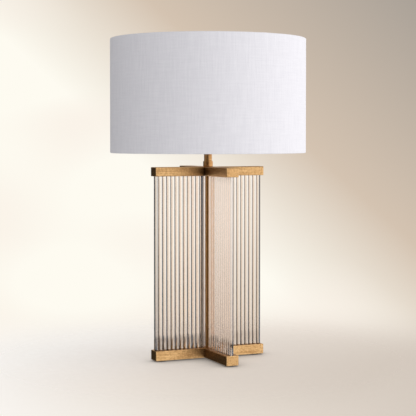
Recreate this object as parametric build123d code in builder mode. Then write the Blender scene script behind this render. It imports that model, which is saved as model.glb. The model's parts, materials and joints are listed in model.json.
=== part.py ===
"""Column table lamp: two metal crosses, rows of glass rods, drum shade on a harp.

Millimetres, +Z up. The origin is on the table, under the lamp's axis. The four
arms lie along X and Y; -Y is the front arm and +Y the rear arm.
"""
from build123d import *
from math import cos, radians
import os

# ---- Driving dimensions ----

# Shade
shade_diameter = 432
shade_height = 250
shade_gap = 31            # top cross to the shade's lower edge
linen_thickness = 0.8
liner_thickness = 1.0
ring_wire = 3.5
ring_fit = 0.05           # ring wire to liner
spider_drop = 11          # shade's upper edge to the top of the hub
spider_wire = 3.0
spider_arm_count = 3
spider_rise_run = 18      # how far in from the ring the arms bend up
spider_bend = 10
hub_radius = 14
hub_thickness = 3.0

# Glass rods
rods_per_arm = 12
rod_diameter = 9.5
rod_gap = 0.3             # between neighbouring rods
rod_edge = 0.5            # chamfer on each rod's ends
glass_height = 380        # glass that shows between the crosses
post_gap = 4.65           # post to the innermost rod
end_margin = 1.8          # outermost rod to the end of the arm
groove_depth = 4
groove_clearance = 0.25
cushion_thickness = 1
cushion_clearance = 0.2

# Crosses
bar_width = 29
base_height = 21.5
top_height = 20
bar_edge = 1.2            # rounding along the bars' edges
base_deck = 8             # metal over the hollow of the base
base_wall = 3
rebate_width = 1.5        # metal left outside the cover
cover_thickness = 2
cover_clearance = 0.2
top_wall = 3
plate_thickness = 10
plate_clearance = 0.15
pad_thickness = 2
pad_margin = 1.8          # pad to the edge of the cover
pad_inset = 18            # pad's centre to the end of the arm

# Cover screws
screw_diameter = 4
screw_head = 7.5
screw_fit = 0.05
screw_length = 10
screw_spare = 1           # thread left free past the screw's tip
boss_diameter = 9
boss_radius = 60          # axis to each screw

# Pipe and what slides over it
pipe_diameter = 9.6
pipe_bore = 6.6
pipe_fit = 0.3            # pipe to the holes that it passes through
thread_fit = 0.05
nut_thickness = 5
nut_wall = 2.2            # thread to the nut's flats
washer_radius = 9
washer_thickness = 1.5
pipe_below_nut = 2
post_clearance = 0.4
post_wall = 1.05

# Neck
nut_clearance = 0.3       # nut's corners to the collar
collar_height = 12.5
collar_wall = 2.05        # collar outside the neck tube
collar_edge = 0.8
neck_seat = 0.37          # ledge that the neck tube stands on
neck_wall = 1.25
neck_fit = 0.05
neck_sink = 4             # neck tube inside the collar
neck_rise = 23.9          # neck tube above the collar

# Cord inlet in the end of the rear arm
cord_height = 8           # above the underside of the base
inlet_radius = 5
inlet_fit = 0.05
bushing_bore = 3.4
bushing_flange = 6.5
bushing_lip = 1.5
bushing_tail = 3          # inside the hollow of the base

# Lamp holder, heights above the saddle
saddle_thickness = 2
saddle_width = 16
tab_width = 6
tab_height = 16
holder_throat = 9
holder_foot = 3
holder_shoulder = 12
cap_height = 24
cap_wall = 0.9
pipe_in_holder = 8
body_bottom = 12
body_top = 32
body_margin = 1.1         # body outside the screw shell
body_fit = 0.2
terminal_flat = 11        # axis to the flats that hold the wiring screws
terminal_low = 13
terminal_high = 25
terminal_head = 3
terminal_head_length = 1.6
terminal_shank = 1.6
terminal_shank_length = 5
liner_bottom = 20.5
liner_top = 57
fibre_thickness = 0.7
shell_bottom = 20
shell_top = 58
shell_wall = 0.8
shell_bead = 0.6
slip_fit = 0.1            # between the holder's nested tubes
screw_shell_wall = 0.6
screw_shell_top = 56
screw_shell_lip = 10
contact_height = 1.3
contact_radius = 4

# Switch in the lamp holder
switch_height = 28
switch_shaft = 2
switch_shaft_fit = 0.1
switch_hole = 2.6
switch_depth = 6          # axis to the shaft's inner end
knob_radius = 6
knob_length = 12
knob_gap = 4.5            # shell to knob
knob_grip = 4             # shaft inside the knob
knob_flutes = 14
knob_flute_radius = 0.7

# Bulb
bulb_diameter = 60
bulb_height = 110
bulb_cap_diameter = 26
bulb_cap_height = 22.9
bulb_cap_wall = 0.4
bulb_contact_height = 1
bulb_contact_radius = 4.5
bulb_contact_rim = 1      # insulator that shows round the contact
bulb_insulator_height = 2.5
bulb_insulator_radius = 8
bulb_gap = 0.3            # bulb's contact to the holder's contact
bulb_thread_gap = 0.5
glass_wall = 0.8
glass_in_cap = 12
glass_neck_fit = 0.3
globe_start = 25          # degrees under the equator where the neck meets the globe

# Harp
harp_wire = 4.8
harp_side_gap = 24        # bulb to the bow's centre line
harp_foot_gap = 0.3
harp_straight = 50        # foot to the lower bend
harp_flare = 105          # foot to the upper bend
harp_bend = 60
harp_shoulder = 50
harp_pad_length = 16
harp_pad_width = 10
harp_pad_thickness = 5
sleeve_clearance = 0.34   # round the tab and the wire
sleeve_wall = 1
sleeve_height = 18
sleeve_gap = 6.1          # lamp holder to sleeve
tab_fit = 0.1             # tab to wire

# Stud and finial
stud_flange = 7
stud_flange_thickness = 2
stud_diameter = 6.35
stud_rivet = 2.5
stud_rivet_head = 4
stud_rivet_head_height = 1
stud_above_hub = 11
hub_clearance = 0.325
turn_gap = 0.1            # between faces that turn on each other
finial_foot = 7
finial_foot_height = 2.4
finial_neck = 4.8
finial_ball = 7.5
finial_ball_height = 14
finial_bore_spare = 1.5
finial_waist = 50         # degrees under the ball's equator where it meets the neck

# ---- Worked-out dimensions ----

rod_radius = rod_diameter / 2
rod_pitch = rod_diameter + rod_gap
pipe_radius = pipe_diameter / 2
post_radius = pipe_radius + post_clearance + post_wall
first_rod = post_radius + post_gap + rod_radius
last_rod = first_rod + (rods_per_arm - 1) * rod_pitch
row_middle = (first_rod + last_rod) / 2
row_length = last_rod - first_rod + rod_diameter
arm_length = last_rod + rod_radius + end_margin

base_bottom = pad_thickness
base_top = base_bottom + base_height
top_bottom = base_top + glass_height
top_top = top_bottom + top_height
rod_bottom = base_top - groove_depth + cushion_thickness
rod_top = top_bottom + groove_depth - cushion_thickness
deck_bottom = base_top - base_deck
cover_reach = arm_length - rebate_width - cover_clearance
cover_width = bar_width - 2 * (rebate_width + cover_clearance)

pipe_hole = pipe_radius + pipe_fit
nut_flat = pipe_radius + nut_wall
nut_corner = nut_flat / cos(radians(30))
collar_bore = nut_corner + nut_clearance
neck_radius = collar_bore + neck_seat
collar_top = top_top + collar_height
neck_bottom = collar_top - neck_sink
neck_top = collar_top + neck_rise
nut_bottom = deck_bottom - washer_thickness - nut_thickness

saddle_top = neck_top + saddle_thickness
screw_shell_bore = bulb_cap_diameter / 2 + bulb_thread_gap
screw_shell_radius = screw_shell_bore + screw_shell_wall
body_radius = screw_shell_radius + body_margin
fibre_bore = body_radius + body_fit
fibre_radius = fibre_bore + fibre_thickness
shell_bore = fibre_radius + slip_fit
shell_radius = shell_bore + shell_wall
cap_bore = shell_radius + slip_fit
cap_radius = cap_bore + cap_wall

shade_bottom = top_top + shade_gap
shade_top = shade_bottom + shade_height
shade_radius = shade_diameter / 2
liner_radius = shade_radius - linen_thickness
liner_bore = liner_radius - liner_thickness
ring_radius = liner_bore - ring_fit - ring_wire / 2
hub_top = shade_top - spider_drop
hub_bottom = hub_top - hub_thickness

stud_seat = hub_bottom - turn_gap
pad_top = stud_seat - stud_flange_thickness
pad_bottom = pad_top - harp_pad_thickness
harp_top = (pad_top + pad_bottom) / 2
harp_half_width = bulb_diameter / 2 + harp_side_gap
harp_foot = saddle_top + harp_foot_gap

# Each sleeve goes round a tab of the saddle and the wire beside it. lock_offset is
# the distance from the tab's inner face to the centre of the smallest circle that
# holds the tab's two inner corners and the far side of the wire.
lock_span = saddle_thickness + tab_fit + harp_wire
lock_offset = (lock_span**2 - (tab_width / 2) ** 2) / (2 * lock_span)
sleeve_bore = lock_span - lock_offset + sleeve_clearance
sleeve_radius = sleeve_bore + sleeve_wall
sleeve_x = cap_radius + sleeve_gap + sleeve_radius
tab_inner = sleeve_x - lock_offset
tab_outer = tab_inner + saddle_thickness
wire_x = tab_outer + tab_fit + harp_wire / 2

arms = {"right": 0, "rear": 90, "left": 180, "front": 270}


# ---- Outlines and features that repeat ----

def cross(reach, width):
    """Two crossing bars, each arm reaching reach from the axis."""
    Rectangle(2 * reach, width)
    Rectangle(width, 2 * reach)


def ring(outer, inner):
    """Flat ring between two radii."""
    Circle(outer)
    Circle(inner, mode=Mode.SUBTRACT)


def rod_slots(margin):
    """One slot along each arm, margin wider than the row of rods all round."""
    with PolarLocations(row_middle, len(arms)):
        Rectangle(row_length + 2 * margin, rod_diameter + 2 * margin)


def tube(outer, inner, low, high):
    """Round tube on the axis between two heights."""
    with BuildPart() as body:
        with BuildSketch(Plane.XY.offset(low)):
            ring(outer, inner)
        extrude(amount=high - low)
    return body


def bar_edges(part):
    """Edges of a cross that are rounded: all but the corners where its bars meet."""
    flat = part.edges().filter_by(Axis.Z, reverse=True)
    ends = part.edges().filter_by(Axis.Z).filter_by(lambda edge: edge.center().X**2
                                                    + edge.center().Y**2 > bar_width**2)
    return flat + ends


# ---- Base ----

with BuildPart() as foot_pads:
    with BuildSketch():
        with PolarLocations(arm_length - pad_inset, len(arms)):
            Circle(cover_width / 2 - pad_margin)
    extrude(amount=pad_thickness)
foot_pads.part.label = "foot_pads"

with BuildPart() as base_cross:
    with BuildSketch(Plane.XY.offset(base_bottom)):
        cross(arm_length, bar_width)
    extrude(amount=base_height)
    fillet(bar_edges(base_cross), bar_edge)
    # hollow underneath, with bosses for the cover's screws
    with BuildSketch(Plane.XY.offset(base_bottom)):
        cross(arm_length - base_wall, bar_width - 2 * base_wall)
        with PolarLocations(boss_radius, len(arms)):
            Circle(boss_diameter / 2, mode=Mode.SUBTRACT)
    extrude(amount=base_height - base_deck, mode=Mode.SUBTRACT)
    with BuildSketch(Plane.XY.offset(base_bottom)):
        cross(arm_length - rebate_width, bar_width - 2 * rebate_width)
    extrude(amount=cover_thickness, mode=Mode.SUBTRACT)
    with BuildSketch(Plane.XY.offset(base_bottom)):
        with PolarLocations(boss_radius, len(arms)):
            Circle(screw_diameter / 2 + screw_fit)
    extrude(amount=screw_length + screw_spare, mode=Mode.SUBTRACT)
    # grooves that the rods stand in
    with BuildSketch(Plane.XY.offset(base_top - groove_depth)):
        rod_slots(groove_clearance)
    extrude(amount=groove_depth, mode=Mode.SUBTRACT)
    with BuildSketch(Plane.XY.offset(deck_bottom)):
        Circle(pipe_hole)
    extrude(amount=base_deck, mode=Mode.SUBTRACT)
    # cord inlet through the end of the rear arm
    with BuildSketch(Plane.XZ.offset(-arm_length)):
        with Locations((0, base_bottom + cord_height)):
            Circle(inlet_radius)
    extrude(amount=base_wall, mode=Mode.SUBTRACT)
base_cross.part.label = "base_cross"

with BuildPart() as base_cover:
    with BuildSketch(Plane.XY.offset(base_bottom)):
        cross(cover_reach, cover_width)
    extrude(amount=cover_thickness)
    with Locations(Plane.XY.offset(base_bottom).rotated((180, 0, 0))):
        with PolarLocations(boss_radius, len(arms)):
            CounterSinkHole(screw_diameter / 2 + screw_fit, screw_head / 2 + screw_fit)
base_cover.part.label = "base_cover"

screw_cone = (screw_head - screw_diameter) / 2
with BuildPart() as base_screws:
    with BuildSketch(Plane.XY.offset(base_bottom)):
        with PolarLocations(boss_radius, len(arms)):
            Circle(screw_diameter / 2)
    extrude(amount=screw_length)
    with Locations(Plane.XY.offset(base_bottom + screw_cone / 2)):
        with PolarLocations(boss_radius, len(arms)):
            Cone(screw_head / 2, screw_diameter / 2, screw_cone)
base_screws.part.label = "base_screws"

with BuildPart() as cord_bushing:
    with BuildSketch(Plane.XZ.offset(-arm_length - bushing_lip)):
        with Locations((0, base_bottom + cord_height)):
            Circle(bushing_flange)
    extrude(amount=bushing_lip)
    with BuildSketch(Plane.XZ.offset(-arm_length)):
        with Locations((0, base_bottom + cord_height)):
            Circle(inlet_radius - inlet_fit)
    extrude(amount=base_wall + bushing_tail)
    with BuildSketch(Plane.XZ.offset(-arm_length - bushing_lip)):
        with Locations((0, base_bottom + cord_height)):
            Circle(bushing_bore)
    extrude(amount=bushing_lip + base_wall + bushing_tail, mode=Mode.SUBTRACT)
    chamfer(cord_bushing.edges().sort_by(Axis.Y)[-2:], bushing_lip / 3)
cord_bushing.part.label = "cord_bushing"

bottom_washer = tube(washer_radius, pipe_hole, deck_bottom - washer_thickness, deck_bottom)
bottom_washer.part.label = "bottom_washer"


def pipe_nut(low):
    """Hexagon nut on the pipe."""
    with BuildPart() as nut:
        with BuildSketch(Plane.XY.offset(low)):
            RegularPolygon(nut_corner, 6)
            Circle(pipe_radius + thread_fit, mode=Mode.SUBTRACT)
        extrude(amount=nut_thickness)
    return nut


bottom_nut = pipe_nut(nut_bottom)
bottom_nut.part.label = "bottom_nut"

# ---- Column ----

threaded_pipe = tube(pipe_radius, pipe_bore / 2, nut_bottom - pipe_below_nut,
                     saddle_top + pipe_in_holder)
threaded_pipe.part.label = "threaded_pipe"

centre_post = tube(post_radius, post_radius - post_wall, base_top, top_bottom)
centre_post.part.label = "centre_post"


def cushions(low):
    """Four strips, one in each groove."""
    with BuildPart() as strips:
        with BuildSketch(Plane.XY.offset(low)):
            rod_slots(groove_clearance - cushion_clearance)
        extrude(amount=cushion_thickness)
    return strips


lower_cushions = cushions(base_top - groove_depth)
lower_cushions.part.label = "lower_cushions"

upper_cushions = cushions(rod_top)
upper_cushions.part.label = "upper_cushions"


def rod_row(angle):
    """The rods of one arm, from the innermost to the outermost."""
    with BuildPart() as row:
        with BuildSketch(Plane.XY.offset(rod_bottom).rotated((0, 0, angle))):
            with Locations(*[(first_rod + i * rod_pitch, 0) for i in range(rods_per_arm)]):
                Circle(rod_radius)
        extrude(amount=rod_top - rod_bottom)
        chamfer(row.edges().filter_by(GeomType.CIRCLE), rod_edge)
    return row


glass_rods = {}
for arm, angle in arms.items():
    glass_rods[arm] = rod_row(angle)
    glass_rods[arm].part.label = f"glass_rods_{arm}"

with BuildPart() as upper_rod_plate:
    with BuildSketch(Plane.XY.offset(top_bottom)):
        inset = top_wall + plate_clearance
        cross(arm_length - inset, bar_width - 2 * inset)
    extrude(amount=plate_thickness)
    with BuildSketch(Plane.XY.offset(top_bottom)):
        rod_slots(groove_clearance)
    extrude(amount=groove_depth, mode=Mode.SUBTRACT)
    with BuildSketch(Plane.XY.offset(top_bottom)):
        Circle(pipe_hole)
    extrude(amount=plate_thickness, mode=Mode.SUBTRACT)
upper_rod_plate.part.label = "upper_rod_plate"

with BuildPart() as top_cross:
    with BuildSketch(Plane.XY.offset(top_bottom)):
        cross(arm_length, bar_width)
    extrude(amount=top_height)
    fillet(bar_edges(top_cross), bar_edge)
    with BuildSketch(Plane.XY.offset(top_bottom)):
        cross(arm_length - top_wall, bar_width - 2 * top_wall)
    extrude(amount=plate_thickness, mode=Mode.SUBTRACT)
    with BuildSketch(Plane.XY.offset(top_bottom)):
        rod_slots(groove_clearance)
    extrude(amount=groove_depth, mode=Mode.SUBTRACT)
    with BuildSketch(Plane.XY.offset(top_bottom)):
        Circle(pipe_hole)
    extrude(amount=top_height, mode=Mode.SUBTRACT)
top_cross.part.label = "top_cross"

# ---- Neck ----

top_nut = pipe_nut(top_top)
top_nut.part.label = "top_nut"

with BuildPart() as neck_collar:
    with BuildSketch(Plane.XY.offset(top_top)):
        ring(neck_radius + collar_wall, collar_bore)
    extrude(amount=collar_height)
    with BuildSketch(Plane.XY.offset(neck_bottom)):
        Circle(neck_radius + neck_fit)
    extrude(amount=neck_sink, mode=Mode.SUBTRACT)
    chamfer(neck_collar.edges().filter_by(GeomType.CIRCLE).sort_by(SortBy.RADIUS)[-2:],
            collar_edge)
neck_collar.part.label = "neck_collar"

neck_tube = tube(neck_radius, neck_radius - neck_wall, neck_bottom, neck_top)
neck_tube.part.label = "neck_tube"

# ---- Lamp holder ----

with BuildPart() as harp_saddle:
    with BuildSketch(Plane.XY.offset(neck_top)):
        Rectangle(2 * tab_outer, saddle_width)
        Circle(pipe_hole, mode=Mode.SUBTRACT)
    extrude(amount=saddle_thickness)
    with BuildSketch(Plane.XY.offset(saddle_top)):
        with Locations((tab_inner + saddle_thickness / 2, 0), (-tab_inner - saddle_thickness / 2, 0)):
            Rectangle(saddle_thickness, tab_width)
    extrude(amount=tab_height)
harp_saddle.part.label = "harp_saddle"

with BuildPart() as socket_cap:
    with BuildSketch(Plane.XZ):
        with BuildLine():
            Polyline(
                (pipe_hole, saddle_top),
                (holder_throat, saddle_top),
                (holder_throat, saddle_top + holder_foot),
                (cap_radius, saddle_top + holder_shoulder),
                (cap_radius, saddle_top + cap_height),
                (cap_bore, saddle_top + cap_height),
                (cap_bore, saddle_top + holder_shoulder + cap_wall / 2),
                (holder_throat - cap_wall, saddle_top + holder_foot + cap_wall / 2),
                (pipe_hole, saddle_top + holder_foot + cap_wall / 2),
                close=True,
            )
        make_face()
    revolve(axis=Axis.Z)
socket_cap.part.label = "socket_cap"

with BuildPart() as socket_body:
    with BuildSketch(Plane.XY.offset(saddle_top + body_bottom)):
        Circle(body_radius)
    extrude(amount=body_top - body_bottom)
    # flats for the wiring screws
    with BuildSketch(Plane.XY.offset(saddle_top + body_bottom)):
        Rectangle(4 * body_radius, 4 * body_radius)
        Rectangle(2 * terminal_flat, 4 * body_radius, mode=Mode.SUBTRACT)
    extrude(amount=terminal_high - body_bottom, mode=Mode.SUBTRACT)
    with BuildSketch(Plane.YZ):
        with Locations((0, saddle_top + (terminal_low + terminal_high) / 2)):
            Circle(terminal_shank + thread_fit)
    extrude(amount=terminal_flat, both=True, mode=Mode.SUBTRACT)
    # bore for the switch shaft
    with BuildSketch(Plane.XZ.offset(switch_depth)):
        with Locations((0, saddle_top + switch_height)):
            Circle(switch_shaft + switch_shaft_fit)
    extrude(amount=body_radius, mode=Mode.SUBTRACT)
socket_body.part.label = "socket_body"

with BuildPart() as terminal_screws:
    for side in (-1, 1):
        with BuildSketch(Plane.YZ.offset(side * (terminal_flat - terminal_shank_length))):
            with Locations((0, saddle_top + (terminal_low + terminal_high) / 2)):
                Circle(terminal_shank)
        extrude(amount=side * terminal_shank_length)
        with BuildSketch(Plane.YZ.offset(side * terminal_flat)):
            with Locations((0, saddle_top + (terminal_low + terminal_high) / 2)):
                Circle(terminal_head)
        extrude(amount=side * terminal_head_length)
terminal_screws.part.label = "terminal_screws"


def holder_tube(outer, inner, low, high):
    """Tube of the lamp holder with a hole for the switch shaft."""
    with BuildPart() as shell:
        with BuildSketch(Plane.XY.offset(saddle_top + low)):
            ring(outer, inner)
        extrude(amount=high - low)
        with BuildSketch(Plane.XZ):
            with Locations((0, saddle_top + switch_height)):
                Circle(switch_hole)
        extrude(amount=2 * outer, mode=Mode.SUBTRACT)
    return shell


socket_liner = holder_tube(fibre_radius, fibre_bore, liner_bottom, liner_top)
socket_liner.part.label = "socket_liner"

with BuildPart() as socket_shell:
    add(holder_tube(shell_radius, shell_bore, shell_bottom, shell_top).part)
    with BuildSketch(Plane.XY.offset(saddle_top + shell_top - 2 * shell_wall)):
        ring(shell_radius + shell_bead, shell_bore)
    extrude(amount=2 * shell_wall)
    chamfer(socket_shell.edges().filter_by(GeomType.CIRCLE).sort_by(SortBy.RADIUS)[-2:],
            shell_bead / 2)
socket_shell.part.label = "socket_shell"

with BuildPart() as screw_shell:
    with BuildSketch(Plane.XY.offset(saddle_top + body_top)):
        ring(screw_shell_radius, screw_shell_lip)
    extrude(amount=screw_shell_wall)
    with BuildSketch(Plane.XY.offset(saddle_top + body_top)):
        ring(screw_shell_radius, screw_shell_bore)
    extrude(amount=screw_shell_top - body_top)
screw_shell.part.label = "screw_shell"

with BuildPart() as centre_contact:
    with BuildSketch(Plane.XY.offset(saddle_top + body_top)):
        Circle(contact_radius)
    extrude(amount=contact_height)
    fillet(centre_contact.edges().group_by(Axis.Z)[-1], contact_height / 2)
centre_contact.part.label = "centre_contact"

# ---- Switch ----

knob_inner = shell_radius + knob_gap

with BuildPart() as switch_shaft_piece:
    with BuildSketch(Plane.XZ.offset(switch_depth + turn_gap)):
        with Locations((0, saddle_top + switch_height)):
            Circle(switch_shaft)
    extrude(amount=knob_inner + knob_grip - switch_depth - turn_gap)
switch_shaft_piece.part.label = "switch_shaft"

with BuildPart() as switch_knob:
    with BuildSketch(Plane.XZ.offset(knob_inner)):
        with Locations((0, saddle_top + switch_height)):
            Circle(knob_radius)
            with PolarLocations(knob_radius, knob_flutes):
                Circle(knob_flute_radius, mode=Mode.SUBTRACT)
    extrude(amount=knob_length)
    chamfer(switch_knob.edges().group_by(Axis.Y)[0], knob_flute_radius / 2)
    with BuildSketch(Plane.XZ.offset(knob_inner)):
        with Locations((0, saddle_top + switch_height)):
            Circle(switch_shaft + thread_fit)
    extrude(amount=knob_grip, mode=Mode.SUBTRACT)
switch_knob.part.label = "switch_knob"

# ---- Bulb ----

bulb_bottom = saddle_top + body_top + contact_height + bulb_gap
insulator_bottom = bulb_bottom + bulb_contact_height
bulb_cap_bottom = insulator_bottom + bulb_insulator_height
bulb_cap_top = bulb_cap_bottom + bulb_cap_height
bulb_top = bulb_bottom + bulb_height
globe_height = bulb_top - bulb_diameter / 2

with BuildPart() as bulb_contact:
    with BuildSketch(Plane.XY.offset(bulb_bottom)):
        Circle(bulb_contact_radius)
    extrude(amount=bulb_contact_height)
bulb_contact.part.label = "bulb_contact"

with BuildPart() as bulb_insulator:
    with Locations((0, 0, insulator_bottom + bulb_insulator_height / 2)):
        Cone(bulb_contact_radius + bulb_contact_rim, bulb_insulator_radius, bulb_insulator_height)
bulb_insulator.part.label = "bulb_insulator"

with BuildPart() as bulb_cap:
    with BuildSketch(Plane.XY.offset(bulb_cap_bottom)):
        Circle(bulb_cap_diameter / 2)
    extrude(amount=bulb_cap_height)
    with BuildSketch(Plane.XY.offset(bulb_cap_bottom + bulb_cap_wall)):
        Circle(bulb_cap_diameter / 2 - bulb_cap_wall)
    extrude(amount=bulb_cap_height - bulb_cap_wall, mode=Mode.SUBTRACT)
bulb_cap.part.label = "bulb_cap"


def bulb_outline(inset):
    """Half outline of the bulb's glass, inset from its outer face."""
    neck = bulb_cap_diameter / 2 - bulb_cap_wall - glass_neck_fit - inset
    globe = bulb_diameter / 2 - inset
    start = Vector(neck, bulb_cap_top - glass_in_cap)
    shoulder = Vector(neck, bulb_cap_top)
    with BuildLine() as outline:
        low = Line(start, shoulder)
        ball = CenterArc((0, globe_height), globe, -globe_start, 90 + globe_start)
        Spline(low @ 1, ball @ 0, tangents=[low % 1, ball % 0])
        Polyline(ball @ 1, (0, bulb_cap_top - glass_in_cap), start)
    return outline.line


with BuildPart() as bulb_glass:
    with BuildSketch(Plane.XZ):
        add(bulb_outline(0))
        make_face()
    revolve(axis=Axis.Z)
    with BuildSketch(Plane.XZ):
        add(bulb_outline(glass_wall))
        make_face()
    revolve(axis=Axis.Z, mode=Mode.SUBTRACT)
bulb_glass.part.label = "bulb_glass"

# ---- Harp ----

with BuildPart() as harp:
    half_path = [
        (wire_x, harp_foot),
        (wire_x, harp_foot + harp_straight),
        (harp_half_width, harp_foot + harp_flare),
        (harp_half_width, harp_top),
    ]
    bends = [harp_bend, harp_bend, harp_shoulder]
    with BuildLine(Plane.XZ):
        FilletPolyline(*half_path, *[(-x, z) for x, z in reversed(half_path)],
                       radius=bends + bends[::-1])
    with BuildSketch(Plane.XY.offset(harp_foot)):
        with Locations((wire_x, 0)):
            Circle(harp_wire / 2)
    sweep()
    # flattened top with a hole for the stud's rivet
    with BuildSketch(Plane.XY.offset(pad_bottom)):
        Rectangle(harp_pad_length, harp_pad_width)
    extrude(amount=harp_pad_thickness)
    with BuildSketch(Plane.XY.offset(pad_bottom)):
        Circle(stud_rivet + thread_fit)
    extrude(amount=harp_pad_thickness, mode=Mode.SUBTRACT)
harp.part.label = "harp"

with BuildPart() as harp_stud:
    with BuildSketch(Plane.XY.offset(pad_bottom - stud_rivet_head_height)):
        Circle(stud_rivet_head)
    extrude(amount=stud_rivet_head_height)
    with BuildSketch(Plane.XY.offset(pad_bottom)):
        Circle(stud_rivet)
    extrude(amount=harp_pad_thickness)
    with BuildSketch(Plane.XY.offset(pad_top)):
        Circle(stud_flange)
    extrude(amount=stud_flange_thickness)
    with BuildSketch(Plane.XY.offset(stud_seat)):
        Circle(stud_diameter / 2)
    extrude(amount=hub_top + stud_above_hub - stud_seat)
harp_stud.part.label = "harp_stud"


def sleeve(side):
    """Sleeve round one foot of the bow and the saddle's tab."""
    with BuildPart() as barrel:
        with BuildSketch(Plane.XY.offset(saddle_top + turn_gap)):
            with Locations((side * sleeve_x, 0)):
                ring(sleeve_radius, sleeve_bore)
        extrude(amount=sleeve_height)
        chamfer(barrel.edges().filter_by(GeomType.CIRCLE).sort_by(SortBy.RADIUS)[-2:],
                sleeve_wall / 3)
    return barrel


sleeve_left = sleeve(-1)
sleeve_left.part.label = "sleeve_left"

sleeve_right = sleeve(1)
sleeve_right.part.label = "sleeve_right"

# ---- Shade ----

shade_linen = tube(shade_radius, liner_radius, shade_bottom, shade_top)
shade_linen.part.label = "shade_linen"

shade_liner = tube(liner_radius, liner_bore, shade_bottom, shade_top)
shade_liner.part.label = "shade_liner"


def wire_ring(height):
    """Ring of wire just inside the liner."""
    with BuildPart() as hoop:
        with Locations((0, 0, height)):
            Torus(ring_radius, ring_wire / 2)
    return hoop


top_ring = wire_ring(shade_top - ring_wire / 2)
top_ring.part.label = "top_ring"

bottom_ring = wire_ring(shade_bottom + ring_wire / 2)
bottom_ring.part.label = "bottom_ring"

spider_hub = tube(hub_radius, stud_diameter / 2 + hub_clearance, hub_bottom, hub_top)
spider_hub.part.label = "spider_hub"

with BuildPart() as spider_arm:
    middle = (hub_bottom + hub_top) / 2
    with BuildLine(Plane.XZ):
        FilletPolyline(
            (hub_radius, middle),
            (ring_radius - spider_rise_run, middle),
            (ring_radius, shade_top - ring_wire / 2),
            radius=spider_bend,
        )
    with BuildSketch(Plane.YZ.offset(hub_radius)):
        with Locations((0, middle)):
            Circle(spider_wire / 2)
    sweep()
    add(top_ring.part, mode=Mode.SUBTRACT)

with BuildPart() as spider_arms:
    with PolarLocations(0, spider_arm_count, start_angle=90):
        add(spider_arm.part)
spider_arms.part.label = "spider_arms"

# ---- Finial ----

finial_bottom = hub_top + turn_gap
finial_bore = stud_diameter / 2 + thread_fit
with BuildPart() as finial:
    with BuildSketch(Plane.XZ):
        with BuildLine():
            foot_top = finial_bottom + finial_foot_height
            ball_middle = finial_bottom + finial_ball_height
            Polyline((0, finial_bottom), (finial_foot, finial_bottom), (finial_foot, foot_top),
                     (finial_neck, foot_top + finial_foot_height / 2))
            ball = CenterArc((0, ball_middle), finial_ball, -finial_waist, 90 + finial_waist)
            Spline((finial_neck, foot_top + finial_foot_height / 2), ball @ 0,
                   tangents=[(0, 1), ball % 0])
            Line(ball @ 1, (0, finial_bottom))
        make_face()
    revolve(axis=Axis.Z)
    with BuildSketch(Plane.XY.offset(finial_bottom)):
        Circle(finial_bore)
    extrude(amount=stud_above_hub + finial_bore_spare, mode=Mode.SUBTRACT)
finial.part.label = "finial"

# ---- Files ----

pieces = [
    foot_pads, base_cross, base_cover, base_screws, cord_bushing, bottom_washer, bottom_nut,
    threaded_pipe, centre_post, lower_cushions, upper_cushions, *glass_rods.values(),
    upper_rod_plate, top_cross, top_nut, neck_collar, neck_tube, harp_saddle, socket_cap,
    socket_body, terminal_screws, socket_liner, socket_shell, screw_shell, centre_contact,
    switch_shaft_piece, switch_knob, bulb_contact, bulb_insulator, bulb_cap, bulb_glass,
    harp, harp_stud, sleeve_left, sleeve_right, shade_linen, shade_liner, top_ring,
    bottom_ring, spider_hub, spider_arms, finial,
]

os.makedirs("parts", exist_ok=True)
for piece in pieces:
    export_step(piece.part, f"parts/{piece.part.label}.step")

print("arm length", round(arm_length, 2), "harp height", round(hub_bottom - saddle_top, 2))
print("shade", round(shade_bottom, 2), "to", round(shade_top, 2))
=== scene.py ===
"""Column table lamp: two brass crosses, rows of clear glass rods, linen drum shade.

Metres, +Z up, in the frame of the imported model. The shapes that the model already
has right keep their meshes and get procedural materials. The glass rods, the linen
cover and the felt pads are made here.
"""

import json
import math

import bmesh
import bpy
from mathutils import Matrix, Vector, noise


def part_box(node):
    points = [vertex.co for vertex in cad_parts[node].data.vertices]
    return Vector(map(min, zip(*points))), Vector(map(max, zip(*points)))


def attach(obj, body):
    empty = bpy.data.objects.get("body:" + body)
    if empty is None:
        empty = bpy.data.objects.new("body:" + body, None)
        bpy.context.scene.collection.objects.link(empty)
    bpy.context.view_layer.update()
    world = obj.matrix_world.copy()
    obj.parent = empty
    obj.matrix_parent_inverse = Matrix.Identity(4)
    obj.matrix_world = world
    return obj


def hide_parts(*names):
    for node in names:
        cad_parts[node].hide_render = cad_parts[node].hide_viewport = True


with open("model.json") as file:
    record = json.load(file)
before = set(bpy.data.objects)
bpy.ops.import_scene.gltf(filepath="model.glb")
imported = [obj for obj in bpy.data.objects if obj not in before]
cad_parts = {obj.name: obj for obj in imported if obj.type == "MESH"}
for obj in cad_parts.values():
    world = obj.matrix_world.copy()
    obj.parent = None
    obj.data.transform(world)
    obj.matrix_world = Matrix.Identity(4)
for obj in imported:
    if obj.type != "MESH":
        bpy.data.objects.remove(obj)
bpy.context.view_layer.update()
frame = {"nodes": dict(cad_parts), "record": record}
MM = 0.001

# ---- Sizes read from the frame ----

ARMS = {"right": 0, "rear": 90, "left": 180, "front": 270}
_, base_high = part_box("base_cross")
top_low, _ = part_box("top_cross")
rod_low, rod_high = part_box("glass_rods_right")
linen_low, linen_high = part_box("shade_linen")
_, liner_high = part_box("shade_liner")

ROD_DIAMETER = rod_high.y - rod_low.y
RODS_PER_ARM = 12
ROD_PITCH = (rod_high.x - rod_low.x - ROD_DIAMETER) / (RODS_PER_ARM - 1)
INNER_ROD = rod_low.x + ROD_DIAMETER / 2    # middles of an arm's first and last rods
OUTER_ROD = rod_high.x - ROD_DIAMETER / 2
LINER_RADIUS = liner_high.x

# ---- Camera, from the lines of the photograph ----

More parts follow.
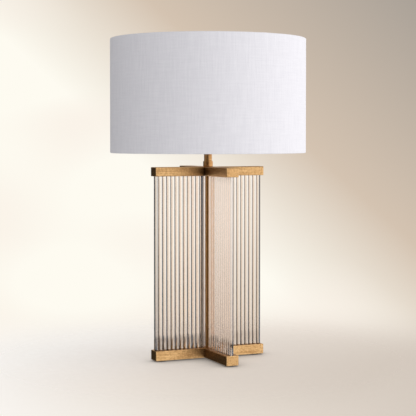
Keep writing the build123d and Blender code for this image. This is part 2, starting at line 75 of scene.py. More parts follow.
IMAGE_SIZE = 416                 # pixels, both ways
SENSOR = 36                      # millimetres
LENS = 108.8
CAMERA_TURN = math.radians(23.7)  # towards -X from straight in front
CAMERA_DISTANCE = 2.782
CAMERA_HEIGHT = 0.4887
HORIZON_ABOVE_CENTRE = 70.8      # pixels
SHIFT_PIXELS = 35.7              # the rest of it is pitch

CAMERA_RIGHT = (math.cos(CAMERA_TURN), -math.sin(CAMERA_TURN), 0)
CAMERA_AHEAD = (math.sin(CAMERA_TURN), math.cos(CAMERA_TURN), 0)
MIRRORED_AHEAD = (-math.sin(CAMERA_TURN), math.cos(CAMERA_TURN), 0)


def make_camera():
    """The photograph's camera: part of the horizon's offset is pitch, part is shift."""
    data = bpy.data.cameras.new("camera")
    camera = bpy.data.objects.new("camera", data)
    bpy.context.scene.collection.objects.link(camera)
    data.lens = LENS
    data.sensor_width = SENSOR
    focal_pixels = LENS / SENSOR * IMAGE_SIZE
    pitch = math.atan((HORIZON_ABOVE_CENTRE - SHIFT_PIXELS) / focal_pixels)
    data.shift_y = -SHIFT_PIXELS / IMAGE_SIZE
    camera.location = (-math.sin(CAMERA_TURN) * CAMERA_DISTANCE,
                       -math.cos(CAMERA_TURN) * CAMERA_DISTANCE, CAMERA_HEIGHT)
    camera.rotation_euler = (math.pi / 2 - pitch, 0, -CAMERA_TURN)
    bpy.context.scene.camera = camera


# ---- Shader node helpers ----

# most noise lies between these values, and half a step tells one count from the next
NOISE_RANGE = (0.35, 0.65)
WIDE_NOISE_RANGE = (0.3, 0.7)
HALF_STEP = 0.5
WHITE = (1, 1, 1, 1)


class Tree:
    """Adds nodes to a node tree. A value that is a socket is linked, others are set."""

    def __init__(self, node_tree):
        self.tree = node_tree
        self.tree.nodes.clear()

    def add(self, kind, inputs=None, **settings):
        node = self.tree.nodes.new(kind)
        for name, value in settings.items():
            setattr(node, name, value)
        for key, value in (inputs or {}).items():
            self.put(node.inputs[key], value)
        return node

    def put(self, socket, value):
        if isinstance(value, bpy.types.NodeSocket):
            self.tree.links.new(value, socket)
        else:
            socket.default_value = value

    def math(self, operation, *values):
        node = self.add("ShaderNodeMath", operation=operation)
        for socket, value in zip(node.inputs, values):
            self.put(socket, value)
        return node.outputs[0]

    def times(self, *values):
        """The product of two or more numbers."""
        product = values[0]
        for value in values[1:]:
            product = self.math("MULTIPLY", product, value)
        return product

    def blend(self, *shares):
        """The sum of (texture, share) pairs."""
        total = 0.0
        for texture, share in shares:
            total = self.math("MULTIPLY_ADD", texture, share, total)
        return total

    def dot(self, vector, other):
        node = self.add("ShaderNodeVectorMath", {0: vector, 1: other}, operation="DOT_PRODUCT")
        return node.outputs["Value"]

    def length(self, vector):
        node = self.add("ShaderNodeVectorMath", {0: vector}, operation="LENGTH")
        return node.outputs["Value"]

    def scaled(self, vector, factors):
        node = self.add("ShaderNodeVectorMath", {0: vector, 1: factors}, operation="MULTIPLY")
        return node.outputs[0]

    def split(self, vector):
        """The X, Y and Z of a vector, by name."""
        return self.add("ShaderNodeSeparateXYZ", {0: vector}).outputs

    def grey(self, level):
        return self.add("ShaderNodeCombineColor", {0: level, 1: level, 2: level}).outputs[0]

    def noise(self, vector, scale=1.0, detail=3.0, roughness=0.55):
        node = self.add("ShaderNodeTexNoise", {
            "Vector": vector, "Scale": scale, "Detail": detail, "Roughness": roughness})
        return node.outputs["Fac"]

    def span(self, value, low, high, to_low=0.0, to_high=1.0, smooth=False):
        """Maps low..high to to_low..to_high, held at both ends."""
        node = self.add("ShaderNodeMapRange", {
            "Value": value, "From Min": low, "From Max": high,
            "To Min": to_low, "To Max": to_high}, clamp=True)
        if smooth:
            node.interpolation_type = "SMOOTHSTEP"
        return node.outputs[0]

    def mix(self, factor, a, b, blend="MIX"):
        """Colours a and b mixed by factor."""
        node = self.add("ShaderNodeMix", data_type="RGBA", blend_type=blend)
        return self.mixed(node, (0, 6, 7), 2, factor, a, b)

    def choose(self, factor, a, b):
        """Number a where factor is 0, b where it is 1."""
        return self.mixed(self.add("ShaderNodeMix", data_type="FLOAT"), (0, 2, 3), 0, factor, a, b)

    def choose_vector(self, factor, a, b):
        """Vector a where factor is 0, b where it is 1."""
        return self.mixed(self.add("ShaderNodeMix", data_type="VECTOR"), (0, 4, 5), 1, factor, a, b)

    def mixed(self, node, inputs, output, *values):
        """Fills a Mix node, whose sockets have other numbers for each data type."""
        for number, value in zip(inputs, values):
            self.put(node.inputs[number], value)
        return node.outputs[output]

    def shelter(self, distance, samples, **settings):
        """Ambient occlusion: 1 in the open, less where surfaces lie within distance."""
        return self.add("ShaderNodeAmbientOcclusion", {"Distance": distance}, samples=samples,
                        **settings).outputs["AO"]

    def bump(self, height, strength, distance):
        return self.add("ShaderNodeBump", {
            "Height": height, "Strength": strength, "Distance": distance}).outputs[0]

    def place(self):
        return self.add("ShaderNodeTexCoord").outputs["Object"]

    def path(self):
        return self.add("ShaderNodeLightPath").outputs

    def mix_shaders(self, factor, a, b):
        return self.add("ShaderNodeMixShader", {0: factor, 1: a.outputs[0], 2: b.outputs[0]})

    def finish(self, shader, kind="ShaderNodeOutputMaterial"):
        output = self.add(kind)
        self.tree.links.new(shader.outputs[0], output.inputs["Surface"])


def linear(red, green, blue):
    """Linear colour from an sRGB colour of 0 to 255."""
    def one(value):
        value /= 255
        return value / 12.92 if value <= 0.04045 else ((value + 0.055) / 1.055) ** 2.4
    return (one(red), one(green), one(blue), 1.0)


def new_material(name):
    material = bpy.data.materials.new(name)
    material.use_nodes = True
    return material, Tree(material.node_tree)


def principled(tree, **inputs):
    """A Principled shader: an input name is given with _ for each space."""
    return tree.add("ShaderNodeBsdfPrincipled",
                    {name.replace("_", " "): value for name, value in inputs.items()})


def three_colours(tree, place, colours, middle=0.5):
    """A run of three colours, with place from 0 to 1."""
    ramp = tree.add("ShaderNodeValToRGB", {0: place})
    stops = ramp.color_ramp.elements
    stops.new(middle)
    for stop, colour in zip(stops, colours):
        stop.color = colour
    return ramp.outputs[0]


# ---- Background ----
# A direction has three parts: across is to the camera's right, ahead is where it looks
# and height is up.

# the wall, from its lit part to its dim part at the upper right
WALL_COLOURS = (linear(254, 251, 241), linear(212, 195, 177), linear(172, 163, 153))
WALL_MIDDLE = 0.42               # place of the middle colour
VIEW_SIDES = (-0.17, 0.17)       # across at the picture's left and right
WALL_RISE = 3.2                  # dimming for each unit of height: across the view it is 1
WALL_DIMS = (0.28, 1.3)
CLOUD_COLOUR = linear(248, 238, 228)
CLOUD_SCALES = (11, 11, 15)
CLOUDS_END = 0.25                # they show only on the lit part
CLOUD_MOST = 0.8

# the far table, from left to right, starts below this height
TABLE_FAR_COLOURS = (linear(250, 246, 241), linear(233, 224, 213), linear(213, 202, 191))
TABLE_STARTS = (-0.13, -0.175)

# what metal mirrors
SCREEN_SIDES = (0.12, 0.62)      # the bright screen at the right, across
SCREEN_LEVELS = (0.01, 1.15)
ROOM_DEPTH = (-0.2, 0.5)         # the room is lighter ahead
ROOM_LEVELS = (0.16, 0.75)
SIDE_CLOTH = (0.75, 0.90)        # black cloth that the bars' left sides mirror
CAMERA_CLOTH = (-0.95, -0.70)    # black cloth behind the camera, for the inner corners
ROOM_FOOT = (-0.3, 0.0)          # darker below this height
ROOM_FOOT_LEVELS = (0.55, 1.0)
BACKDROP_STARTS = (0.84, 0.95)   # ahead of this it mirrors the backdrop

# glass bends its view past the backdrop's edges: white at the left, warm at the right
BENT_LEFT = linear(252, 251, 250)
BENT_RIGHT = linear(254, 236, 219)
BENT_TURNS = (-0.3, 0.5)
BACKDROP_ENDS = (0.15, 0.4)

# light on matt surfaces, stronger from the camera's right and from behind it
FILL = 0.81
FILL_ACROSS = 0.42
FILL_AHEAD = -0.07


def backdrop_colour(tree, direction, across, height):
    """The wall, dimmer towards the upper right and with soft clouds, above the table."""
    to_right = tree.span(across, *VIEW_SIDES)
    dim = tree.span(tree.math("MULTIPLY_ADD", height, WALL_RISE, to_right), *WALL_DIMS)
    cloud = tree.span(tree.noise(tree.scaled(direction, CLOUD_SCALES), 1, 0), *NOISE_RANGE)
    cloud = tree.times(cloud, tree.span(dim, CLOUDS_END, 0.0, 0.0, CLOUD_MOST))
    wall = tree.mix(cloud, three_colours(tree, dim, WALL_COLOURS, WALL_MIDDLE), CLOUD_COLOUR)
    table = three_colours(tree, to_right, TABLE_FAR_COLOURS)
    return tree.mix(tree.span(height, *TABLE_STARTS, smooth=True), wall, table)


def mirrored_colour(tree, direction, across, ahead, height, backdrop):
    """What metal mirrors: the backdrop, a bright screen, a dim room and two cloths."""
    screen = tree.span(across, *SCREEN_SIDES, *SCREEN_LEVELS, smooth=True)
    side_cloth = tree.span(tree.dot(direction, MIRRORED_AHEAD), *SIDE_CLOTH, 1.0, 0.0)
    room = tree.times(tree.span(ahead, *ROOM_DEPTH, *ROOM_LEVELS), side_cloth,
                      tree.span(ahead, *CAMERA_CLOTH))
    level = tree.times(tree.math("MAXIMUM", screen, room),
                       tree.span(height, *ROOM_FOOT, *ROOM_FOOT_LEVELS))
    return tree.mix(tree.span(ahead, *BACKDROP_STARTS, smooth=True), tree.grey(level), backdrop)


def bent_colour(tree, across, backdrop):
    """What glass shows: the backdrop in the middle, plain light past its edges."""
    wide = tree.mix(tree.span(across, *BENT_TURNS), BENT_LEFT, BENT_RIGHT)
    return tree.mix(tree.span(tree.math("ABSOLUTE", across), *BACKDROP_ENDS), backdrop, wide)


def make_world():
    """A pale studio: camera, metal and glass see the backdrop, diffuse surfaces the fill."""
    world = bpy.data.worlds.new("studio")
    bpy.context.scene.world = world
    world.use_nodes = True
    tree = Tree(world.node_tree)
    direction = tree.add("ShaderNodeTexCoord").outputs["Generated"]
    across = tree.dot(direction, CAMERA_RIGHT)
    ahead = tree.dot(direction, CAMERA_AHEAD)
    height = tree.dot(direction, (0, 0, 1))

    backdrop = backdrop_colour(tree, direction, across, height)
    mirrored = mirrored_colour(tree, direction, across, ahead, height, backdrop)
    bent = bent_colour(tree, across, backdrop)

    path = tree.path()
    in_glass = tree.math("GREATER_THAN", path["Transmission Depth"], HALF_STEP)
    shown = tree.mix(in_glass, tree.mix(path["Is Glossy Ray"], backdrop, mirrored), bent)
    sees = tree.math("MAXIMUM", path["Is Glossy Ray"], path["Is Transmission Ray"])
    sees = tree.math("MAXIMUM", path["Is Camera Ray"], sees)
    level = tree.math("MULTIPLY_ADD", ahead, FILL_AHEAD, FILL)
    level = tree.math("MULTIPLY_ADD", across, FILL_ACROSS, level)
    fill = tree.add("ShaderNodeBackground", {"Color": WHITE, "Strength": level})
    seen = tree.add("ShaderNodeBackground", {"Color": shown, "Strength": 1.0})
    tree.finish(tree.mix_shaders(sees, fill, seen), "ShaderNodeOutputWorld")


# ---- Floor and light ----

FLOOR_RADIUS = 1.5
FLOOR_SEGMENTS = 96
FLOOR_SOLID = 0.16               # the floor is whole inside this radius
FLOOR_GONE = 0.72                # and has faded out at this one
FLOOR_GAP = 0.0002
FLOOR_OWN_LIGHT = 0.55           # share of the floor that shows its colour unshaded
FLOOR_COLOURS = (linear(255, 252, 249), linear(242, 232, 222), linear(216, 204, 192))
FLOOR_SIDES = (-0.42, 0.42)
FLOOR_SLANT = -0.4               # the dimmer side starts further right behind the lamp
FLOOR_SPECKS = linear(214, 202, 190)
FLOOR_SPECK_SCALE = 60
FLOOR_SPECK_MOST = 0.12
FLOOR_ROUGHNESS = 0.55

CONTACT_REACH = 0.055            # of the soft dark line where the base stands
CONTACT_RANGE = (0.25, 0.95)
CONTACT_LEVELS = (0.25, 1.0)

KEY_PLACE = Vector((2.4, -1.5, 1.3))
KEY_AIM = Vector((0, 0, 0.35))
KEY_SIZE = 1.2
KEY_POWER = 9
KEY_COLOUR = (1.0, 0.97, 0.94)


def floor_shader(tree):
    """Pale, dimmer to the right, with a contact shadow. It fades out away from the lamp."""
    place = tree.place()
    to_right = tree.math("MULTIPLY_ADD", tree.dot(place, CAMERA_AHEAD), FLOOR_SLANT,
                         tree.dot(place, CAMERA_RIGHT))
    colour = three_colours(tree, tree.span(to_right, *FLOOR_SIDES), FLOOR_COLOURS)
    specks = tree.noise(place, FLOOR_SPECK_SCALE, 4)
    specks = tree.span(specks, *WIDE_NOISE_RANGE, 0.0, FLOOR_SPECK_MOST)
    colour = tree.mix(specks, colour, FLOOR_SPECKS)
    contact = tree.span(tree.shelter(CONTACT_REACH, 12), *CONTACT_RANGE, *CONTACT_LEVELS)
    colour = tree.mix(1.0, colour, tree.grey(contact), "MULTIPLY")

    path = tree.path()
    seen = tree.math("MAXIMUM", path["Is Camera Ray"], path["Is Transmission Ray"])
    lit = principled(tree, Base_Color=colour, Roughness=FLOOR_ROUGHNESS)
    own = tree.add("ShaderNodeEmission", {"Color": colour, "Strength": seen})
    surface = tree.mix_shaders(FLOOR_OWN_LIGHT, lit, own)
    fade = tree.span(tree.length(place), FLOOR_SOLID, FLOOR_GONE, smooth=True)
    below = tree.add("ShaderNodeNewGeometry").outputs["Backfacing"]
    fade = tree.math("MAXIMUM", fade, below)
    return tree.mix_shaders(fade, surface, tree.add("ShaderNodeBsdfTransparent"))


def make_floor():
    """A round pale floor that fades into the backdrop."""
    mesh = bpy.data.meshes.new("floor")
    form = bmesh.new()
    bmesh.ops.create_circle(form, cap_ends=True, segments=FLOOR_SEGMENTS, radius=FLOOR_RADIUS)
    form.to_mesh(mesh)
    form.free()
    floor = bpy.data.objects.new("floor", mesh)
    bpy.context.scene.collection.objects.link(floor)
    floor.location.z = -FLOOR_GAP
    for sees in ("visible_glossy", "visible_diffuse", "visible_shadow"):
        setattr(floor, sees, False)
    material, tree = new_material("floor")
    tree.finish(floor_shader(tree))
    mesh.materials.append(material)


def make_key():
    """A soft area lamp at the camera's right."""
    data = bpy.data.lights.new("key", "AREA")
    data.shape = "DISK"
    data.size = KEY_SIZE
    data.energy = KEY_POWER
    data.color = KEY_COLOUR
    key = bpy.data.objects.new("key", data)
    bpy.context.scene.collection.objects.link(key)
    key.location = KEY_PLACE
    key.rotation_euler = (KEY_AIM - KEY_PLACE).to_track_quat("-Z", "Y").to_euler()


# ---- Brass ----

# noise scales along a brushed bar and across it, then round a turned piece and up it
BRUSHED_LINES = (14, 750)
BRUSHED_STREAKS = (9, 250)
TURNED_LINES = (30, 900)
TURNED_STREAKS = (30, 260)
MOTTLE_SCALE = 330
BLOTCH_SCALE = 24
BLOTCH_SHARE = 0.12
LINE_SHARE = 0.34
STREAK_SHARE = 0.10
MOTTLE_SHARE = 0.44
TONE_RANGE = (0.42, 0.58)
GLOSS_RANGE = (0.38, 0.62)
ROUGHER = 0.08                   # in the darkest tones
SMOOTHER = 0.05                  # in the brightest ones
ANISOTROPY = 0.4
ACROSS_PART = 0.7                # each of the two equal parts of a vector across a bar

# painted shade and patina: corners and the sides near them are darkened to a dark brown, for the
# shade that falls there and for patina in hollows
PATINA_AND_SHADE = linear(84, 48, 10)
PATINA_AND_SHADE_REACH = 0.07
PATINA_AND_SHADE_RANGE = (0.5, 0.97)
PATINA_AND_SHADE_BELOW = 0.3               # less of the painted shade and patina on the base than on the top cross
PATINA_AND_SHADE_ABOVE = 0.85
# painted highlight and wear: a pale band along the rounded edges, for their highlights and for
# rubbed brass
WEAR_AND_HIGHLIGHT_EDGE = linear(252, 216, 160)
WEAR_AND_HIGHLIGHT_REACH = 1.6 * MM
WEAR_AND_HIGHLIGHT_RANGE = (0.8, 0.45)
MOTTLE_RELIEF = 0.8              # of the bump, where the brushed lines have 1
BRUSH_STRENGTH = 0.4
BRUSH_DEPTH = 0.12 * MM


def brass(name, bright, dark, roughness, wear_and_highlight=0.0, turned=False):
    """Aged brass with patina and painted shade in corners, wear and painted highlights on its
    edges, brushed along bars or turned.
    """
    material, tree = new_material(name)
    place = tree.place()
    part = tree.split(place)
    along_x = tree.math("GREATER_THAN", tree.math("ABSOLUTE", part["X"]),
                        tree.math("ABSOLUTE", part["Y"]))

    def by_arm(along, across):
        """One number along the arm, another across it: for Y arms, then for X arms."""
        return (across, along, across), (along, across, across)

    def brushed(along, across):
        """The place, scaled along the arm and across it."""
        on_y, on_x = by_arm(along, across)
        return tree.choose_vector(along_x, tree.scaled(place, on_y), tree.scaled(place, on_x))

    if turned:
        line_place = tree.scaled(place, (TURNED_LINES[0], *TURNED_LINES))
        streak_place = tree.scaled(place, (TURNED_STREAKS[0], *TURNED_STREAKS))
        grain = (0, 0, 1)
    else:
        line_place = brushed(*BRUSHED_LINES)
        streak_place = brushed(*BRUSHED_STREAKS)
        grain = tree.choose_vector(along_x, *by_arm(0, ACROSS_PART))
    lines = tree.noise(line_place, 1, 4, 0.65)
    streaks = tree.noise(streak_place, 1, 2, 0.5)
    mottle = tree.noise(place, MOTTLE_SCALE, 4, 0.7)
    blotches = tree.noise(place, BLOTCH_SCALE, 3, 0.55)
    tone = tree.blend((blotches, BLOTCH_SHARE), (lines, LINE_SHARE), (streaks, STREAK_SHARE),
                      (mottle, MOTTLE_SHARE))
    colour = tree.mix(tree.span(tone, *TONE_RANGE), dark, bright)

    # painted shade and patina, darker towards the corners by occlusion, more on the top cross than
    # on the base
    shelter = tree.shelter(PATINA_AND_SHADE_REACH, 8, only_local=True)
    by_height = tree.span(part["Z"], base_high.z, top_low.z, PATINA_AND_SHADE_BELOW, PATINA_AND_SHADE_ABOVE)
    patina = tree.times(tree.span(shelter, *PATINA_AND_SHADE_RANGE, 1.0, 0.0), by_height)
    aged_with_painted_light = tree.mix(patina, colour, PATINA_AND_SHADE)
    # painted highlight and wear along the edges
    if wear_and_highlight:
        edge = tree.shelter(WEAR_AND_HIGHLIGHT_REACH, 6, only_local=True, inside=True)
        aged_with_painted_light = tree.mix(tree.span(edge, *WEAR_AND_HIGHLIGHT_RANGE, 0.0, wear_and_highlight), aged_with_painted_light, WEAR_AND_HIGHLIGHT_EDGE)
    rough = tree.span(tone, *GLOSS_RANGE, roughness + ROUGHER, roughness - SMOOTHER)
    height = tree.math("MULTIPLY_ADD", mottle, MOTTLE_RELIEF, lines)
    shader = principled(tree, Base_Color=aged_with_painted_light, Metallic=1.0, Roughness=rough,
                        Anisotropic=ANISOTROPY, Tangent=grain,
                        Normal=tree.bump(height, BRUSH_STRENGTH, BRUSH_DEPTH))
    tree.finish(shader)
    return material


# ---- Plain surfaces ----

FINE_SCALES = 6                  # how much finer the bump is than the tones
GLOSS_VARIES = 0.05


def plain(name, colour, other, scale, roughness, bump=0.1, bump_depth=0.1 * MM, **inputs):
    """A surface with two close tones mixed by noise, and a matching bump."""
    material, tree = new_material(name)
    place = tree.place()
    tone = tree.noise(place, scale, 4, 0.6)
    fine = tree.noise(place, scale * FINE_SCALES, 3, 0.6)
    mixed = tree.mix(tree.span(tone, *NOISE_RANGE), colour, other)
    rough = tree.span(fine, *WIDE_NOISE_RANGE, roughness - GLOSS_VARIES,
                      roughness + GLOSS_VARIES)
    shader = principled(tree, Base_Color=mixed, Roughness=rough,
                        Normal=tree.bump(fine, bump, bump_depth), **inputs)
    tree.finish(shader)
    return material


# ---- Glass ----

GLASS_HIGH = (0.99, 0.90, 0.81, 1)      # near the top cross
GLASS_LOW_PAINTED_REFLECTION = (0.64, 0.51, 0.41, 1)       # near the base: darker and browner, a painted reflection of the brass base
GLASS_FOOT_PAINTED_SHADE = (0.22, 0.16, 0.12, 1)      # painted shade, for the base's dark gaps seen through the rods
GLASS_END_ON_SHADE = (0.80, 0.76, 0.75, 1)    # painted shade: greyer and darker for the rows that the camera sees end on
GLASS_CLEAR = (1.0, 0.992, 0.982, 1)    # past the first surface
EDGE_SHADE_BROWN = (0.026, 0.018, 0.013, 1)
EDGE_SHADE_BLUE = (0.016, 0.019, 0.027, 1)
GLASS_TURNS_LOW = (0.36, 0.03)          # heights between which the tint changes to the painted reflection of the base

# painted shade: a rod is painted dark where it turns away from the eye and towards the next rod,
# for the dark surroundings that its edges bend into
EDGE_RANGE = (0.10, 0.46)
EDGE_WIDTH = 1.1
TO_NEXT_RANGE = (0.38, 0.56)
EDGE_WIDER_LOW = 0.9
EDGE_WIDER_FREE = 6.0                   # on the free side of an arm's last rod
EDGE_WIDER_IN_FOOT_SHADE = 6.0
FREE_SIDE = (OUTER_ROD - 1.2 * MM, OUTER_ROD - 0.4 * MM)

# painted shade: near their feet the rods are painted dark in patches, for the base's dark gaps seen
# through them, most on the left arm
FOOT_SHADE_HEIGHTS = (base_high.z + 34 * MM, base_high.z + 24 * MM)
FOOT_SHADE_PATCHES = (230, 230, 45)
FOOT_SHADE_PATCH_RANGE = (0.3, 0.5)
FOOT_SHADE_SIDES = (-0.02, 0.02)
FOOT_SHADE_SIDE_LEVELS = (1.0, 0.3)
FOOT_SHADE_STRENGTH = 0.85

# painted shade: the middle of the rods beside the post is painted dark, for the post seen through
# them
POST_SHADE_OUTER = (INNER_ROD + 3.8 * MM, INNER_ROD + 3.0 * MM)
POST_SHADE_INNER = (INNER_ROD - 2.6 * MM, INNER_ROD - 1.8 * MM)

EDGE_SHADE_HUE_SCALES = (90, 90, 2)                # the painted dark edges' hue changes from rod to rod
EDGE_SHADE_HUE_RANGE = (0.4, 0.6)
RIPPLE_SCALES = (40, 40, 6)
RIPPLE_STRENGTH = 0.1
RIPPLE_DEPTH = 0.1 * MM
GLASS_INDEX = 1.5
BENT_SURFACES = 4                       # past so many surfaces a ray goes straight on


def rod_glass():
    """Clear glass, faintly warm, with painted shade and painted reflection: rods are painted dark
    where they turn to the next rod, beside the post and at their feet, and warmer and darker
    towards the base.
    """
    material, tree = new_material("rod_glass")
    coordinates = tree.add("ShaderNodeTexCoord").outputs
    place = coordinates["Object"]
    part = tree.split(place)
    far_x = tree.math("ABSOLUTE", part["X"])
    far_y = tree.math("ABSOLUTE", part["Y"])
    reach = tree.math("MAXIMUM", far_x, far_y)
    along_x = tree.math("GREATER_THAN", far_x, far_y)
    inside = tree.path()["Transmission Depth"]
    first = tree.math("LESS_THAN", inside, HALF_STEP)

    low = tree.span(part["Z"], *GLASS_TURNS_LOW, smooth=True)
    # painted shade at the feet, in patches, most on the left arm
    foot = tree.times(
        tree.span(tree.noise(tree.scaled(place, FOOT_SHADE_PATCHES), 1, 2), *FOOT_SHADE_PATCH_RANGE),
        tree.span(part["Z"], *FOOT_SHADE_HEIGHTS),
        tree.span(part["X"], *FOOT_SHADE_SIDES, *FOOT_SHADE_SIDE_LEVELS))

    normal = tree.split(coordinates["Normal"])
    to_next = tree.choose(along_x, tree.math("ABSOLUTE", normal["Y"]),
                          tree.math("ABSOLUTE", normal["X"]))
    free = tree.times(tree.span(reach, *FREE_SIDE), along_x)
    width = tree.math("MULTIPLY_ADD", foot, EDGE_WIDER_IN_FOOT_SHADE, EDGE_WIDTH)
    width = tree.math("MULTIPLY_ADD", free, EDGE_WIDER_FREE, width)
    width = tree.math("MULTIPLY_ADD", low, EDGE_WIDER_LOW, width)
    # painted shade along the rods' edges, wider low down, at the feet and on an arm's free side
    facing = tree.add("ShaderNodeLayerWeight", {"Blend": 0.5}).outputs["Facing"]
    edge = tree.times(tree.span(tree.times(facing, width), *EDGE_RANGE, smooth=True),
                      tree.math("MAXIMUM", free, tree.span(to_next, *TO_NEXT_RANGE)))
    # painted shade beside the post
    strip = tree.times(tree.span(reach, *POST_SHADE_OUTER), tree.span(reach, *POST_SHADE_INNER), along_x)
    edge = tree.times(first, tree.math("MAXIMUM", edge, strip))

    # painted reflection of the brass base: warmer and darker low down
    tint = tree.mix(low, GLASS_HIGH, GLASS_LOW_PAINTED_REFLECTION)
    tint = tree.mix(tree.times(foot, FOOT_SHADE_STRENGTH), tint, GLASS_FOOT_PAINTED_SHADE)
    # painted shade on the rows seen end on
    tint = tree.mix(1.0, tint, tree.mix(along_x, GLASS_END_ON_SHADE, WHITE), "MULTIPLY")
    tint = tree.mix(first, GLASS_CLEAR, tint)
    # hue of the painted dark edges
    hue = tree.noise(tree.scaled(place, EDGE_SHADE_HUE_SCALES), 1, 1)
    dark = tree.mix(tree.span(hue, *EDGE_SHADE_HUE_RANGE), EDGE_SHADE_BROWN, EDGE_SHADE_BLUE)
    ripple = tree.noise(tree.scaled(place, RIPPLE_SCALES), 1, 2)
    glass = principled(tree, Base_Color=tree.mix(edge, tint, dark), Roughness=0.0,
                       IOR=GLASS_INDEX, Transmission_Weight=1.0,
                       Normal=tree.bump(ripple, RIPPLE_STRENGTH, RIPPLE_DEPTH))
    straight = tree.math("GREATER_THAN", inside, BENT_SURFACES - HALF_STEP)
    tree.finish(tree.mix_shaders(straight, glass, tree.add("ShaderNodeBsdfTransparent")))
    return material


# ---- Linen ----

LINEN_DARK = linear(226, 224, 230)
LINEN_LIGHT = linear(238, 236, 241)
THREAD = 0.55 * MM
THREAD_WOBBLE = 35
SLUB_SCALES = (900, 22)          # noise across a thread, and along it
THICK_SCALES = (260, 18)         # the same for the thicker threads
WEAVE_SHARE = 0.125
SLUB_SHARE = 0.1875
THICK_UP_SHARE = 0.32
THICK_ACROSS_SHARE = 0.18
LINEN_TONES = (0.38, 0.62)
SLUB_RELIEF = 0.75               # of the bump, where the weave has 1
WEAVE_STRENGTH = 0.5
WEAVE_DEPTH = 0.15 * MM
LINEN_ROUGHNESS = 0.9
LINEN_SHEEN = 0.15
SHEEN_ROUGHNESS = 0.5


def linen():
    """Woven linen, from the sheet's own flat coordinates in metres."""
    material, tree = new_material("linen")
    flat = tree.add("ShaderNodeUVMap", uv_map="flat").outputs[0]
    part = tree.split(flat)
    wobble = tree.noise(flat, THREAD_WOBBLE, 2)

    def threads(place):
        """A wave with one thread to each turn, slightly off straight."""
        place = tree.math("MULTIPLY_ADD", wobble, THREAD * 2, place)
        return tree.math("SINE", tree.times(place, math.tau / THREAD))

    def along_threads(scales, detail, roughness):
        """Noise drawn out up the cloth, and the same across it."""
        fine, coarse = scales
        return (tree.noise(tree.scaled(flat, (fine, coarse, 1)), 1, detail, roughness),
                tree.noise(tree.scaled(flat, (coarse, fine, 1)), 1, detail, roughness))

    weave = tree.math("MULTIPLY_ADD", tree.times(threads(part["X"]), threads(part["Y"])), 0.5, 0.5)
    slub_up, slub_across = along_threads(SLUB_SCALES, 3, 0.6)
    thick_up, thick_across = along_threads(THICK_SCALES, 2, 0.55)
    tone = tree.blend((weave, WEAVE_SHARE), (slub_up, SLUB_SHARE), (slub_across, SLUB_SHARE),
                      (thick_up, THICK_UP_SHARE), (thick_across, THICK_ACROSS_SHARE))
    colour = tree.mix(tree.span(tone, *LINEN_TONES), LINEN_DARK, LINEN_LIGHT)
    height = tree.blend((slub_up, SLUB_RELIEF), (slub_across, SLUB_RELIEF), (weave, 1.0))
    shader = principled(tree, Base_Color=colour, Roughness=LINEN_ROUGHNESS,
                        Normal=tree.bump(height, WEAVE_STRENGTH, WEAVE_DEPTH),
                        Sheen_Weight=LINEN_SHEEN, Sheen_Roughness=SHEEN_ROUGHNESS)
    tree.finish(shader)
    return material


# ---- Pieces made here ----

def piece(name, form, material, body, slot_name, *nodes):
    """Makes a smooth piece of a form. It rides a body and stands for CAD nodes."""
    mesh = bpy.data.meshes.new(name)
    form.to_mesh(mesh)
    form.free()
    mesh.shade_smooth()
    mesh.materials.append(material)
    made = bpy.data.objects.new(name, mesh)
    bpy.context.scene.collection.objects.link(made)
    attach(made, body)
    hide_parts(*nodes)
    return made


def lathe(form, centre, outline, segments):
    """Adds a solid of revolution about a vertical line: outline is (radius, height)."""
    rings = []
    for radius, height in outline:
        if radius == 0:
            rings.append([form.verts.new((centre[0], centre[1], height))])
            continue
        rings.append([form.verts.new((centre[0] + radius * math.cos(i * math.tau / segments),
                                      centre[1] + radius * math.sin(i * math.tau / segments),
                                      height)) for i in range(segments)])
    for below, above in zip(rings, rings[1:]):
        for i in range(segments):
            after = (i + 1) % segments
            if len(below) == 1:
                form.faces.new((below[0], above[after], above[i]))
            elif len(above) == 1:
                form.faces.new((below[i], below[after], above[0]))
            else:
                form.faces.new((below[i], below[after], above[after], above[i]))


EDGE_STEPS = 4                   # faces round a rounded edge


def rounded_outline(radius, low, high, edge, wall=()):
    """Half section of a disc or rod with rounded edges, and points between them."""
    turns = [i * math.pi / 2 / EDGE_STEPS for i in range(EDGE_STEPS + 1)]
    flat = radius - edge
    foot = [(flat + edge * math.sin(t), low + edge * (1 - math.cos(t))) for t in turns]
    head = [(flat + edge * math.cos(t), high - edge * (1 - math.sin(t))) for t in turns]
    return [(0, low)] + foot + list(wall) + head + [(0, high)]


def on_arm(reach, angle):
    """The point at a distance from the axis along an arm."""
    turn = math.radians(angle)
    return (reach * math.cos(turn), reach * math.sin(turn))


ROD_SEGMENTS = 40
ROD_EDGE = 0.7 * MM              # fire-polished
ROD_SLICES = 16
ROD_DRAWN = 0.004                # how far a drawn rod varies in thickness
ROD_WAVES = 14                   # noise scale along a rod
ROD_APART = 7.3                  # step in the noise from one rod to the next


def rod_wall(seed):
    """The side of one rod, whose thickness varies a little."""
    wall = []
    for i in range(1, ROD_SLICES):
        height = rod_low.z + (rod_high.z - rod_low.z) * i / ROD_SLICES
        drawn = noise.noise(Vector((seed * ROD_APART, height * ROD_WAVES, 0)))
        wall.append((ROD_DIAMETER / 2 * (1 - ROD_DRAWN * abs(drawn)), height))
    return wall


def make_rods(glass):
    for arm, angle in ARMS.items():
        form = bmesh.new()
        for i in range(RODS_PER_ARM):
            outline = rounded_outline(ROD_DIAMETER / 2, rod_low.z, rod_high.z, ROD_EDGE,
                                      rod_wall(angle + i))
            lathe(form, on_arm(INNER_ROD + i * ROD_PITCH, angle), outline, ROD_SEGMENTS)
        piece(f"rods_{arm}", form, glass, "lamp", "rod_glass", f"glass_rods_{arm}")


